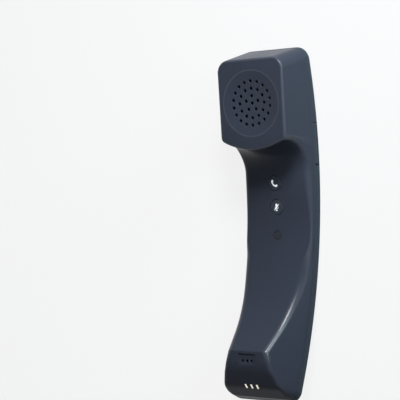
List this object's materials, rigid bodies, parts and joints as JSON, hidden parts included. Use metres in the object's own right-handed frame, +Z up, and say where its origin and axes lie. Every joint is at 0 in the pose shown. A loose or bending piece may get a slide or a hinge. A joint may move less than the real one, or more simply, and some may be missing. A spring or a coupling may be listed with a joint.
{
  "type": "cordless phone handset",
  "caption": "Curved cordless telephone handset with a square earpiece block, slim handle, wedge mouthpiece, round keys, a side volume rocker and charging contacts.",
  "frame": {"origin": "middle of the bounding box's bottom: the handset lies on its curved back, with its inner face up", "axes": "+X across the width towards the volume rocker, +Y along the length towards the earpiece, +Z up, out of the inner face"},
  "size_m": [0.046, 0.2011, 0.0412],
  "materials": {
    "cover_plastic": "satin",
    "housing_plastic": "satin",
    "key_plastic": "satin",
    "dark_window": "gloss",
    "blue_light": "gloss",
    "green_light": "gloss",
    "contact_metal": "polished",
    "board": "satin",
    "steel": "satin",
    "foam": "matte",
    "soft_rubber": "matte",
    "acoustic_cloth": "matte",
    "cone_paper": "matte",
    "battery_film": "satin",
    "white_plastic": "satin",
    "flex_film": "satin"
  },
  "bodies": {
    "handset": {"outer_cover": "cover_plastic", "inner_housing": "housing_plastic", "sensor_window": "dark_window", "link_light_window": "blue_light", "battery_light_window": "green_light", "charge_contact_left": "contact_metal", "charge_contact_middle": "contact_metal", "charge_contact_right": "contact_metal", "grille_mesh": "acoustic_cloth", "speaker_gasket": "foam", "speaker_frame": "steel", "speaker_cone": "cone_paper", "speaker_magnet": "steel", "speaker_clamp": "steel", "clamp_screws": "steel", "hook_magnet": "steel", "radio_board": "board", "radio_board_screws": "steel", "link_led": "white_plastic", "battery_led": "white_plastic", "main_board": "board", "main_board_screws": "steel", "shield_can": "steel", "call_switch": "steel", "mute_switch": "steel", "proximity_sensor": "dark_window", "battery_socket": "white_plastic", "volume_board": "board", "volume_switches": "steel", "battery_pack": "battery_film", "battery_pad": "foam", "battery_lead": "flex_film", "microphone_boot": "soft_rubber", "microphone": "steel", "contact_board": "board", "ear_flex": "flex_film", "chin_flex": "flex_film", "flex_sockets": "white_plastic"},
    "call_button": {"call_key": "key_plastic"},
    "mute_button": {"mute_key": "key_plastic"},
    "volume_button": {"volume_rocker": "cover_plastic"}
  },
  "joints": [
    {"name": "call_press", "type": "slide", "parent": "handset", "child": "call_button", "axis": [0, 0.1746, -0.9846], "range_m": [0, 0.0004], "stiffness_N_per_m": 500},
    {"name": "mute_press", "type": "slide", "parent": "handset", "child": "mute_button", "axis": [0, 0.1414, -0.99], "range_m": [0, 0.0004], "stiffness_N_per_m": 500},
    {"name": "volume_rock", "type": "hinge", "parent": "handset", "child": "volume_button", "pos_m": [0.0187, 0.0459, 0.00502], "axis": [0, -0.1226, 0.9925], "range_deg": [-1.2, 1.2], "stiffness_Nm_per_rad": 0.6}
  ]
}
